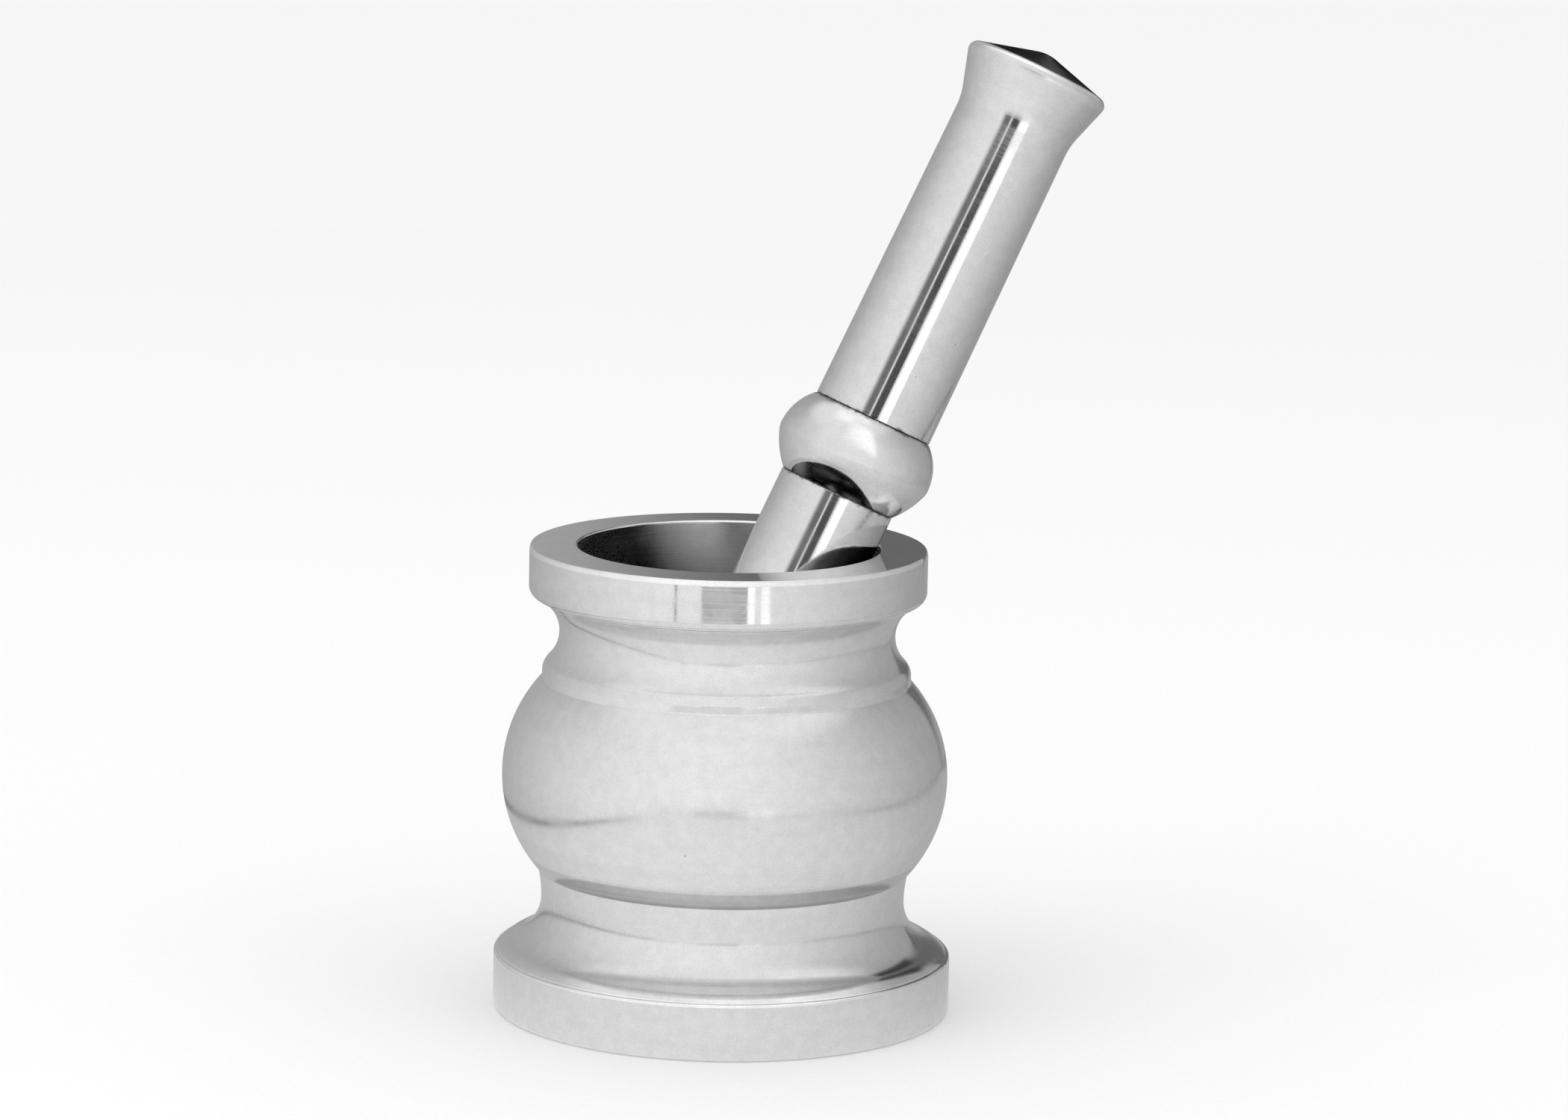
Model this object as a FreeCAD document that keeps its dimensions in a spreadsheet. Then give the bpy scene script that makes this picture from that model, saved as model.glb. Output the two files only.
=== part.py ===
import FreeCAD, Part

import os
import re

import Sketcher
from FreeCAD import Placement, Rotation, Vector

# Mortar and pestle, turned from stainless steel. Millimetres, +Z up, origin at the centre of the
# mortar's flat underside. The pestle leans towards +X, with its axis parallel to the XZ plane.

DIMENSIONS = {
    # mortar, outside, from the table up
    "plinth_radius": 45.0,
    "plinth_height": 11.1,
    "plinth_edge": 0.7,
    "base_break": 0.5,
    "shoulder_arc": 7.0,
    "waist_radius": 35.7,
    "waist_height": 21.5,
    "waist_arc": 9.3,
    "crease_height": 27.6,
    "belly_radius": 43.7,
    "belly_height": 46.3,
    "belly_arc": 27.7,
    "band_radius": 36.1,
    "band_top": 68.5,
    "neck_radius": 32.85,
    "neck_height": 74.5,
    "neck_arc": 7.8,
    "neck_top": 80.4,
    "rim_radius": 38.88,
    "rim_bottom": 81.7,
    "rim_bottom_edge": 1.8,
    "rim_top_edge": 1.15,
    "rim_top_arc": 2.0,
    "mortar_height": 91.7,
    # mortar, inside
    "bore_radius": 29.5,
    "lip_edge": 0.4,
    "bowl_centre_height": 52.0,
    # pestle, from its working end up
    "rod_radius": 11.8,
    "tip_arc": 15.0,
    "tip_edge_arc": 5.0,
    "rod_length": 82.95,
    "joint_break": 0.2,
    "collar_height": 16.0,
    "collar_foot_radius": 11.7,
    "collar_radius": 15.85,
    "collar_crown_height": 7.8,
    "collar_crown_arc": 4.0,
    "collar_under_arc": 18.6,
    "collar_top_radius": 12.15,
    "grip_foot_radius": 12.1,
    "grip_head_radius": 11.68,
    "grip_straight": 64.3,
    "flare_radius": 14.55,
    "flare_edge_arc": 1.7,
    "flare_edge_height": 73.6,
    "grip_length": 78.7,
    "apex_arc": 8.0,
    # stud that joins the pestle's three turned pieces
    "stud_radius": 4.0,
    "stud_engagement": 15.0,
    "stud_end_break": 0.8,
    "stud_hole_spare": 1.0,
    "drill_point_height": 2.4,
    # where the pestle leans: a point of its axis at rim height, its tilt, and its tip below the rim
    "lean_angle": 25.7,
    "lean_offset": 16.15,
    "side_offset": -2.5,
    "tip_depth": 71.5,
}

# Height above the rim of the cutter that opens the bowl.
CUTTER_HEADROOM = 2.0

FULL_TURN = 360.0


def make_sheet(doc):
    sheet = doc.addObject("Spreadsheet::Sheet", "Sizes")
    for row, (alias, value) in enumerate(DIMENSIONS.items(), start=1):
        sheet.set(f"A{row}", alias)
        sheet.set(f"B{row}", str(value))
        sheet.setAlias(f"B{row}", alias)
    doc.recompute()
    return sheet


def with_sheet(expression):
    """Expression in which every alias is read from the sheet."""
    return re.sub(
        "[a-z_]+",
        lambda word: f"Sizes.{word[0]}" if word[0] in DIMENSIONS else word[0],
        expression,
    )


def number(sheet, expression):
    value = sheet.evalExpression(with_sheet(expression))
    return float(getattr(value, "Value", value))


def origin_plane(body, role):
    return next(item for item in body.Origin.OriginFeatures if item.Role == role)


class Corner:
    """Corner of an outline. A height or radius of None is left for the geometry to settle, near the
    guess; smooth makes the two edges that meet here tangent."""

    def __init__(self, radius, height, near=None, smooth=False):
        self.radius = radius
        self.height = height
        self.near = near
        self.smooth = smooth


class Arc:
    """Arc to the next corner. bulge is its side of the chord, + to the right of the direction of
    travel; radius, centre_radius and centre_height are bound where they are given."""

    def __init__(self, bulge, radius=None, centre_radius=None, centre_height=None, near=None):
        self.bulge = bulge
        self.radius = radius
        self.centre_radius = centre_radius
        self.centre_height = centre_height
        self.near = near


class Outline:
    """Closed half-section of a turned piece, in a sketch on its body's XZ plane."""

    def __init__(self, sheet, body, name):
        self.sheet = sheet
        self.sketch = body.newObject("Sketcher::SketchObject", name)
        self.sketch.AttachmentSupport = [(origin_plane(body, "XZ_Plane"), "")]
        self.sketch.MapMode = "FlatFace"

    def bind(self, kind, geometry, position, expression):
        """Distance of a point from the sketch's origin, bound to the sheet."""
        value = number(self.sheet, expression)
        if abs(value) < 1e-9:
            axis = -2 if kind == "DistanceX" else -1
            self.sketch.addConstraint(
                Sketcher.Constraint("PointOnObject", geometry, position, axis)
            )
            return
        index = self.sketch.addConstraint(
            Sketcher.Constraint(kind, -1, 1, geometry, position, value)
        )
        self.sketch.setExpression(f"Constraints[{index}]", with_sheet(expression))

    def bind_radius(self, geometry, expression):
        value = number(self.sheet, expression)
        index = self.sketch.addConstraint(Sketcher.Constraint("Radius", geometry, value))
        self.sketch.setExpression(f"Constraints[{index}]", with_sheet(expression))

    def start_point(self, corner):
        near = corner.near or (0.0, 0.0)
        radius = near[0] if corner.radius is None else number(self.sheet, corner.radius)
        height = near[1] if corner.height is None else number(self.sheet, corner.height)
        return Vector(radius, height, 0)

    def add_edge(self, edge, start, end):
        if edge is None:
            return self.sketch.addGeometry(Part.LineSegment(start, end), False)
        guess = edge.near if edge.radius is None else number(self.sheet, edge.radius)
        chord = end - start
        half = chord.Length / 2
        right = Vector(chord.y, -chord.x, 0).normalize()
        rise = guess - (guess * guess - half * half) ** 0.5
        middle = (start + end) * 0.5 + right * (rise * edge.bulge)
        return self.sketch.addGeometry(Part.Arc(start, middle, end), False)

    def end_index(self, geometry, point):
        """1 for the edge's own start, 2 for its end, whichever lies at the point."""
        ends = {index: self.sketch.getPoint(geometry, index) for index in (1, 2)}
        return min(ends, key=lambda index: (ends[index] - point).Length)

    def draw(self, *steps):
        """steps are corners, each followed by an Arc where the way to the next corner is round."""
        corners = [step for step in steps if isinstance(step, Corner)]
        edges = []
        for here, following in zip(steps, steps[1:] + (None,)):
            if isinstance(here, Corner):
                edges.append(following if isinstance(following, Arc) else None)
        points = [self.start_point(corner) for corner in corners]
        count = len(corners)
        geometry = [
            self.add_edge(edges[index], points[index], points[(index + 1) % count])
            for index in range(count)
        ]
        leaving = [self.end_index(geometry[i], points[i]) for i in range(count)]
        arriving = [3 - index for index in leaving]
        for index, corner in enumerate(corners):
            before = index - 1
            kind = "Tangent" if corner.smooth else "Coincident"
            self.sketch.addConstraint(
                Sketcher.Constraint(
                    kind,
                    geometry[before],
                    arriving[before],
                    geometry[index],
                    leaving[index],
                )
            )
        for index, corner in enumerate(corners):
            if corner.radius is not None:
                self.bind("DistanceX", geometry[index], leaving[index], corner.radius)
            if corner.height is not None:
                self.bind("DistanceY", geometry[index], leaving[index], corner.height)
        for index, edge in enumerate(edges):
            if edge is None:
                continue
            if edge.radius is not None:
                self.bind_radius(geometry[index], edge.radius)
            if edge.centre_radius is not None:
                self.bind("DistanceX", geometry[index], 3, edge.centre_radius)
            if edge.centre_height is not None:
                self.bind("DistanceY", geometry[index], 3, edge.centre_height)
        return self.sketch


def new_body(doc, label):
    body = doc.addObject("PartDesign::Body", label)
    body.Label = label
    return body


def turn(body, kind, sketch, name):
    """Full turn of a sketch about its own vertical axis: a Revolution or a Groove."""
    feature = body.newObject(f"PartDesign::{kind}", name)
    feature.Profile = sketch
    feature.ReferenceAxis = (sketch, ["V_Axis"])
    feature.Angle = FULL_TURN
    sketch.Document.recompute()
    return feature


def build_mortar(doc, sheet):
    body = new_body(doc, "mortar_body")
    outside = Outline(sheet, body, "MortarOutside").draw(
        Corner("0", "0"),
        Corner("plinth_radius - base_break", "0"),
        Corner("plinth_radius", "base_break"),
        Corner("plinth_radius", "plinth_height - plinth_edge"),
        Arc(1, radius="plinth_edge"),
        Corner("plinth_radius - plinth_edge", "plinth_height"),
        Arc(1, radius="shoulder_arc"),
        Corner(None, None, near=(41.9, 12.7), smooth=True),
        Arc(-1, radius="waist_arc", centre_height="waist_height"),
        Corner("waist_radius", "waist_height"),
        Arc(-1, centre_height="waist_height", near=20.7),
        Corner(None, "crease_height", near=(36.6, 27.6)),
        Arc(
            1,
            radius="belly_arc",
            centre_radius="belly_radius - belly_arc",
            centre_height="belly_height",
        ),
        Corner("band_radius", None, near=(36.1, 65.4)),
        Corner("band_radius", "band_top"),
        Corner(None, "band_top", near=(35.6, 68.5)),
        Arc(
            -1,
            radius="neck_arc",
            centre_radius="neck_radius + neck_arc",
            centre_height="neck_height",
        ),
        Corner(None, "neck_top", near=(35.5, 80.4)),
        Corner("rim_radius - rim_bottom_edge", "rim_bottom"),
        Arc(1, radius="rim_bottom_edge"),
        Corner("rim_radius", "rim_bottom + rim_bottom_edge"),
        Corner("rim_radius", "mortar_height - rim_top_edge", smooth=True),
        Arc(1, radius="rim_top_arc"),
        Corner(None, "mortar_height", near=(38.5, 91.7)),
        Corner("0", "mortar_height"),
    )
    blank = turn(body, "Revolution", outside, "MortarBlank")
    blank_volume = blank.Shape.Volume

    bowl = Outline(sheet, body, "MortarBowl").draw(
        Corner("0", "bowl_centre_height - bore_radius"),
        Arc(1, radius="bore_radius"),
        Corner("bore_radius", "bowl_centre_height"),
        Corner("bore_radius", "mortar_height - lip_edge"),
        Arc(-1, radius="lip_edge"),
        Corner("bore_radius + lip_edge", "mortar_height"),
        Corner("bore_radius + lip_edge", f"mortar_height + {CUTTER_HEADROOM}"),
        Corner("0", f"mortar_height + {CUTTER_HEADROOM}"),
    )
    groove = turn(body, "Groove", bowl, "Bowl")
    if groove.Shape.Volume > 0.9 * blank_volume:
        raise RuntimeError("the bowl's groove removed too little")
    return body


def build_rod(doc, sheet):
    body = new_body(doc, "pestle_rod")
    hole_floor = "rod_length - stud_engagement - stud_hole_spare"
    sketch = Outline(sheet, body, "RodOutline").draw(
        Corner("0", "0"),
        Arc(1, radius="tip_arc", centre_radius="0"),
        Corner(None, None, near=(10.3, 4.1), smooth=True),
        Arc(1, radius="tip_edge_arc"),
        Corner("rod_radius", None, near=(11.8, 7.7), smooth=True),
        Corner("rod_radius", "rod_length - joint_break"),
        Corner("rod_radius - joint_break", "rod_length"),
        Corner("stud_radius", "rod_length"),
        Corner("stud_radius", hole_floor),
        Corner("0", f"{hole_floor} - drill_point_height"),
    )
    turn(body, "Revolution", sketch, "Rod")
    return body


def build_collar(doc, sheet):
    body = new_body(doc, "pestle_collar")
    sketch = Outline(sheet, body, "CollarOutline").draw(
        Corner("stud_radius", "0"),
        Corner("collar_foot_radius", "0"),
        Arc(1, radius="collar_under_arc"),
        Corner(None, None, near=(15.5, 6.3), smooth=True),
        Arc(1, radius="collar_crown_arc", centre_height="collar_crown_height"),
        Corner("collar_radius", "collar_crown_height", smooth=True),
        Arc(1, near=10.9),
        Corner("collar_top_radius", "collar_height"),
        Corner("stud_radius", "collar_height"),
    )
    turn(body, "Revolution", sketch, "Collar")
    return body


def build_grip(doc, sheet):
    body = new_body(doc, "pestle_grip")
    hole_roof = "stud_engagement + stud_hole_spare"
    sketch = Outline(sheet, body, "GripOutline").draw(
        Corner("stud_radius", "0"),
        Corner("grip_foot_radius - joint_break", "0"),
        Corner("grip_foot_radius", "joint_break"),
        Corner("grip_head_radius", "grip_straight"),
        Corner(None, None, near=(14.4, 72.9), smooth=True),
        Arc(
            1,
            radius="flare_edge_arc",
            centre_radius="flare_radius - flare_edge_arc",
            centre_height="flare_edge_height",
        ),
        Corner(None, None, near=(13.3, 75.2), smooth=True),
        Corner(None, None, near=(2.3, 78.4), smooth=True),
        Arc(1, radius="apex_arc", centre_radius="0"),
        Corner("0", "grip_length"),
        Corner("0", f"{hole_roof} + drill_point_height"),
        Corner("stud_radius", hole_roof),
    )
    turn(body, "Revolution", sketch, "Grip")
    return body


def build_stud(doc, sheet):
    body = new_body(doc, "joining_stud")
    length = "stud_engagement + collar_height + stud_engagement"
    sketch = Outline(sheet, body, "StudOutline").draw(
        Corner("0", "0"),
        Corner("stud_radius - stud_end_break", "0"),
        Corner("stud_radius", "stud_end_break"),
        Corner("stud_radius", f"{length} - stud_end_break"),
        Corner("stud_radius - stud_end_break", length),
        Corner("0", length),
    )
    turn(body, "Revolution", sketch, "Stud")
    return body


def place_on_pestle(body, from_tip):
    """Put the body's own origin on the pestle's axis, the given length above its tip."""
    body.Placement = Placement(Vector(0, 0, 0), Rotation(Vector(0, 1, 0), 10.0))
    along = f"({from_tip} - tip_depth)"
    body.setExpression("Placement.Rotation.Angle", with_sheet("lean_angle * 1 deg"))
    body.setExpression(
        "Placement.Base.x",
        with_sheet(f"lean_offset + {along} * sin(lean_angle * 1 deg)"),
    )
    body.setExpression("Placement.Base.y", with_sheet("side_offset"))
    body.setExpression(
        "Placement.Base.z",
        with_sheet(f"mortar_height + {along} * cos(lean_angle * 1 deg)"),
    )


def check_and_export(doc, bodies):
    for item in doc.Objects:
        if "Invalid" in item.State or "Error" in item.State:
            raise RuntimeError(f"{item.Name} did not build: {item.State}")
    for body in bodies:
        if body.Shape.isNull() or not body.Shape.isValid() or len(body.Shape.Solids) != 1:
            raise RuntimeError(f"{body.Label} is not one valid solid")
    os.makedirs("parts", exist_ok=True)
    for body in bodies:
        body.Shape.exportStep(f"parts/{body.Label}.step")
        box = body.Shape.BoundBox
        print(
            f"{body.Label}: volume {body.Shape.Volume:.0f} mm3,"
            f" X {box.XMin:.1f} to {box.XMax:.1f}, Z {box.ZMin:.1f} to {box.ZMax:.1f}"
        )


def main():
    doc = FreeCAD.newDocument("MortarAndPestle")
    sheet = make_sheet(doc)
    mortar = build_mortar(doc, sheet)
    rod = build_rod(doc, sheet)
    collar = build_collar(doc, sheet)
    grip = build_grip(doc, sheet)
    stud = build_stud(doc, sheet)
    place_on_pestle(rod, "0")
    place_on_pestle(collar, "rod_length")
    place_on_pestle(grip, "rod_length + collar_height")
    place_on_pestle(stud, "rod_length - stud_engagement")
    doc.recompute()
    check_and_export(doc, [mortar, rod, collar, grip, stud])


main()
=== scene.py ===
import math

import bpy
from mathutils import Matrix, Vector
from mathutils.geometry import intersect_sphere_sphere_2d


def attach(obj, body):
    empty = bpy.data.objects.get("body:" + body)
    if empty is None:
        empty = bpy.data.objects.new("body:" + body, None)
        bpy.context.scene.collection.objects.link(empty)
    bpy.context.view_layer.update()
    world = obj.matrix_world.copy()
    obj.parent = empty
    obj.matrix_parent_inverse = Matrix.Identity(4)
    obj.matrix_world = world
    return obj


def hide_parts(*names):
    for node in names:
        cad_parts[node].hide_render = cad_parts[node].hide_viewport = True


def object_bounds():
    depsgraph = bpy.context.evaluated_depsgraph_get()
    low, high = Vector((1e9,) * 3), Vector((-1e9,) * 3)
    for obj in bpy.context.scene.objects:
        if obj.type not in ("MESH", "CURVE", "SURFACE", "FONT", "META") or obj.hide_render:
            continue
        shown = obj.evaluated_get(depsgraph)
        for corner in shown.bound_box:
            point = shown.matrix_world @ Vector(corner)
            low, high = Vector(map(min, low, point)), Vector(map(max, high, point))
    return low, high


# A turned steel mortar with its pestle leaning in it, in a white light tent.
# Profiles are in millimetres, as (radius, height), and everything in the scene is in metres.

MM = 0.001
MICRON = 0.000001

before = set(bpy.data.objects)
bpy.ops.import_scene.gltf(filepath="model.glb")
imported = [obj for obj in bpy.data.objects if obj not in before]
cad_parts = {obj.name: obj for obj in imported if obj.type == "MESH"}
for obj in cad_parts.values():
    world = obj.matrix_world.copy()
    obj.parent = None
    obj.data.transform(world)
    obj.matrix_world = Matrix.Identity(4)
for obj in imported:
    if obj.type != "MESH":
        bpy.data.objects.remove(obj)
cad_low, cad_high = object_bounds()


# ---------------------------------------------------------------- turned meshes

TURN_STEPS = 288
ARC_STEP_DEG = 3.0
LINE_STEP = 2.5
ROUNDING_STEPS = 6
LARGEST_ROUNDING = 0.4  # share of an edge that the rounding of one of its corners may take
SAME_POINT = 1e-4  # points nearer to each other than this are one
ON_AXIS = 1e-6  # points nearer to the axis than this are on it


class Profile:
    """Half-section of a turned piece, drawn with the metal on its left. Each edge ends at a corner
    that is rounded by the given length, or runs on smoothly where that length is 0."""

    def __init__(self, radius, height):
        self.here = Vector((radius, height))
        self.edges = []

    def line(self, radius, height, rounding=0.0):
        end = Vector((radius, height))
        start = self.here
        length = (end - start).length
        along = (end - start) / length

        def place(share):
            return start + (end - start) * share, along

        steps = max(1, math.ceil(length / LINE_STEP))
        self.edges.append((place, length, steps, rounding))
        self.here = end
        return self

    def arc(self, centre, radius, height, rounding=0.0):
        """The shorter arc about centre to the corner at (radius, height)."""
        centre = Vector(centre)
        end = Vector((radius, height))
        first = self.here - centre
        last = end - centre
        begin = math.atan2(first.y, first.x)
        sweep = math.atan2(first.x * last.y - first.y * last.x, first.dot(last))

        def place(share):
            angle = begin + sweep * share
            size = first.length + (last.length - first.length) * share
            out = Vector((math.cos(angle), math.sin(angle)))
            along = Vector((-out.y, out.x)) * math.copysign(1, sweep)
            return centre + out * size, along

        steps = max(2, math.ceil(abs(math.degrees(sweep)) / ARC_STEP_DEG))
        self.edges.append((place, abs(sweep) * first.length, steps, rounding))
        self.here = end
        return self

    def rounded_corner(self, index, end):
        """Points between the edge's shortened end and the next edge's shortened start."""
        place, _, _, rounding = self.edges[index]
        following, next_length = self.edges[(index + 1) % len(self.edges)][:2]
        a, _ = place(end)
        b, _ = following(min(LARGEST_ROUNDING, rounding / next_length))
        corner, _ = place(1.0)
        for step in range(1, ROUNDING_STEPS):
            t = step / ROUNDING_STEPS
            at = a * (1 - t) ** 2 + corner * (2 * t * (1 - t)) + b * t**2
            along = (corner - a) * (1 - t) + (b - corner) * t
            yield at, along.normalized()

    def points(self):
        """Points of the whole profile, each with the direction of travel there."""
        made = []
        for index, (place, length, steps, rounding) in enumerate(self.edges):
            before = self.edges[index - 1][3]
            begin = min(LARGEST_ROUNDING, before / length)
            end = 1 - min(LARGEST_ROUNDING, rounding / length)
            for step in range(steps + 1):
                made.append(place(begin + (end - begin) * step / steps))
            if rounding > 0:
                made.extend(self.rounded_corner(index, end))
        kept = []
        for at, along in made:
            if kept and (kept[-1][0] - at).length < SAME_POINT:
                continue
            kept.append((at, along))
        if (kept[0][0] - kept[-1][0]).length < SAME_POINT:
            kept.pop()
        return kept


def turned_mesh(name, profile, matrix):
    """Closed mesh of a profile turned about its own Z, with the profile's own normals, set in place
    in the row frame by the matrix."""
    vertices, normals, rings = [], [], []
    for at, along in profile.points():
        outward = Vector((along.y, -along.x))
        if at.x < ON_AXIS:
            rings.append([len(vertices)])
            vertices.append((0.0, 0.0, at.y * MM))
            normals.append((0.0, 0.0, math.copysign(1, outward.y)))
            continue
        ring = []
        for step in range(TURN_STEPS):
            angle = 2 * math.pi * (step + 0.5) / TURN_STEPS
            c, s = math.cos(angle), math.sin(angle)
            ring.append(len(vertices))
            vertices.append((at.x * c * MM, at.x * s * MM, at.y * MM))
            normals.append((outward.x * c, outward.x * s, outward.y))
        rings.append(ring)
    faces = []
    for low, high in zip(rings, rings[1:] + rings[:1]):
        if len(low) == 1 and len(high) == 1:
            continue
        for step in range(TURN_STEPS):
            after = (step + 1) % TURN_STEPS
            if len(low) == 1:
                faces.append((low[0], high[after], high[step]))
            elif len(high) == 1:
                faces.append((low[step], low[after], high[0]))
            else:
                faces.append((low[step], low[after], high[after], high[step]))
    mesh = bpy.data.meshes.new(name)
    mesh.from_pydata([matrix @ Vector(at) for at in vertices], [], faces)
    mesh.validate()
    mesh.shade_smooth()
    turn = matrix.to_3x3()
    mesh.normals_split_custom_set_from_vertices([turn @ Vector(way) for way in normals])
    return mesh


# ---------------------------------------------------------------- plane geometry of the profiles


def third_side(longest, other):
    """Of a right-angled triangle."""
    return math.sqrt(longest**2 - other**2)


def arc_leaving_upright(inset, rise):
    """Radius of an arc that starts upright and has come in by inset at the given rise."""
    return (inset**2 + rise**2) / (2 * inset)


def inner_crossing(centre_a, radius_a, centre_b, radius_b):
    """Of the two points where two circles cross, the one nearer to the axis."""
    crossings = intersect_sphere_sphere_2d(centre_a, radius_a, centre_b, radius_b)
    return min(crossings, key=lambda at: at.x)


def on_line(start, through, distance):
    """The point at the given distance from start, on the line from there through another point."""
    return start + (through - start).normalized() * distance


def normal_of_tangent(start, start_radius, end, end_radius):
    """Unit normal, to the right of the way from start to end, of the line that touches a circle about
    each of them on that side. A point is a circle of radius 0."""
    between = end - start
    turn = math.acos((start_radius - end_radius) / between.length)
    angle = math.atan2(between.y, between.x) - turn
    return Vector((math.cos(angle), math.sin(angle)))


# ---------------------------------------------------------------- the pieces' profiles

# How far the widest and the highest part stay inside the CAD model.
INSIDE_CAD = 0.03

# The mortar's outside, from the table up, and its bowl.
PLINTH_RADIUS = 45.0
PLINTH_HEIGHT = 11.1
PLINTH_EDGE = 0.7
BASE_BREAK = 0.5
SHOULDER_ARC = 7.0
WAIST_RADIUS = 35.7
WAIST_HEIGHT = 21.5
WAIST_ARC = 9.3
CREASE_HEIGHT = 27.6
BELLY_RADIUS = 43.7
BELLY_HEIGHT = 46.3
BELLY_ARC = 27.7
BAND_RADIUS = 36.1
BAND_EDGE = 3.0
NECK_RADIUS = 32.85
NECK_HEIGHT = 74.5
NECK_ARC = 7.8
NECK_TOP = 80.4
RIM_RADIUS = 38.88
RIM_BOTTOM = 81.7
RIM_BOTTOM_EDGE = 1.8
RIM_TOP_EDGE = 1.15
RIM_TOP_ARC = 2.0
MORTAR_HEIGHT = 91.7
BORE_RADIUS = 29.5
LIP_EDGE = 0.4
BOWL_CENTRE_HEIGHT = 52.0

# The pestle, from its working end up.
ROD_RADIUS = 11.8
ROD_LENGTH = 82.95
TIP_ARC = 15.0
TIP_EDGE_ARC = 5.0
JOINT_BREAK = 0.2
COLLAR_HEIGHT = 16.0
COLLAR_FOOT_RADIUS = 11.7
COLLAR_RADIUS = 15.85
COLLAR_CROWN_HEIGHT = 7.8
COLLAR_CROWN_ARC = 4.0
COLLAR_UNDER_ARC = 18.6
COLLAR_TOP_RADIUS = 12.15
GRIP_FOOT_RADIUS = 12.1
GRIP_HEAD_RADIUS = 11.68
GRIP_STRAIGHT = 64.3
GRIP_LENGTH = 78.7
FLARE_RADIUS = 14.55
FLARE_EDGE_ARC = 1.7
FLARE_EDGE_HEIGHT = 73.6
APEX_ARC = 8.0
STUD_RADIUS = 4.0
STUD_HOLE_DEPTH = 16.0
DRILL_POINT_HEIGHT = 2.4

# How far corners are rounded, from the crispest to the softest.
JOINT_ROUNDING = 0.06
CRISP_ROUNDING = 0.1
BASE_ROUNDING = 0.12
EDGE_ROUNDING = 0.15
CREASE_ROUNDING = 0.2
BAND_ROUNDING = 0.25
UNDERSIDE_ROUNDING = 0.3
FLARE_ROUNDING = 2.2


def mortar_profile():
    side = PLINTH_RADIUS - INSIDE_CAD
    top_edge = PLINTH_HEIGHT - PLINTH_EDGE
    waist = Vector((WAIST_RADIUS + WAIST_ARC, WAIST_HEIGHT))
    shoulder = inner_crossing(
        Vector((PLINTH_RADIUS - PLINTH_EDGE, PLINTH_HEIGHT)),
        SHOULDER_ARC,
        waist,
        SHOULDER_ARC + WAIST_ARC,
    )
    belly = Vector((BELLY_RADIUS - BELLY_ARC, BELLY_HEIGHT))
    crease_radius = belly.x + third_side(BELLY_ARC, BELLY_HEIGHT - CREASE_HEIGHT)
    upper_waist_arc = arc_leaving_upright(
        crease_radius - WAIST_RADIUS, CREASE_HEIGHT - WAIST_HEIGHT
    )
    belly_top = BELLY_HEIGHT + third_side(BELLY_ARC, BAND_RADIUS - belly.x)
    neck = Vector((NECK_RADIUS + NECK_ARC, NECK_HEIGHT))
    band_edge = Vector((BAND_RADIUS - BAND_EDGE, NECK_HEIGHT))
    band_edge.y -= third_side(NECK_ARC + BAND_EDGE, neck.x - band_edge.x)
    neck_top_radius = neck.x - third_side(NECK_ARC, NECK_TOP - NECK_HEIGHT)
    rim_foot = Vector((RIM_RADIUS - RIM_BOTTOM_EDGE, RIM_BOTTOM + RIM_BOTTOM_EDGE))
    rim_top = Vector((RIM_RADIUS - RIM_TOP_ARC, MORTAR_HEIGHT - RIM_TOP_EDGE))
    lip = Vector((BORE_RADIUS + LIP_EDGE, MORTAR_HEIGHT - LIP_EDGE))
    return (
        Profile(0, 0)
        .line(side - BASE_BREAK, 0, BASE_ROUNDING)
        .line(side, BASE_BREAK, BASE_ROUNDING)
        .line(side, top_edge)
        .arc((side - PLINTH_EDGE, top_edge), side - PLINTH_EDGE, PLINTH_HEIGHT, CRISP_ROUNDING)
        .arc(shoulder, *on_line(waist, shoulder, WAIST_ARC))
        .arc(waist, WAIST_RADIUS, WAIST_HEIGHT)
        .arc(
            (WAIST_RADIUS + upper_waist_arc, WAIST_HEIGHT),
            crease_radius,
            CREASE_HEIGHT,
            CREASE_ROUNDING,
        )
        .arc(belly, BAND_RADIUS, belly_top, BAND_ROUNDING)
        .line(BAND_RADIUS, band_edge.y)
        .arc(band_edge, *on_line(neck, band_edge, NECK_ARC))
        .arc(neck, neck_top_radius, NECK_TOP, CREASE_ROUNDING)
        .line(rim_foot.x, RIM_BOTTOM, UNDERSIDE_ROUNDING)
        .arc(rim_foot, RIM_RADIUS, rim_foot.y)
        .line(RIM_RADIUS, rim_top.y)
        .arc(rim_top, rim_top.x + third_side(RIM_TOP_ARC, RIM_TOP_EDGE), MORTAR_HEIGHT, EDGE_ROUNDING)
        .line(lip.x, MORTAR_HEIGHT)
        .arc(lip, BORE_RADIUS, lip.y)
        .line(BORE_RADIUS, BOWL_CENTRE_HEIGHT)
        .arc((0, BOWL_CENTRE_HEIGHT), 0, BOWL_CENTRE_HEIGHT - BORE_RADIUS)
        .line(0, 0)
    )


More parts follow.
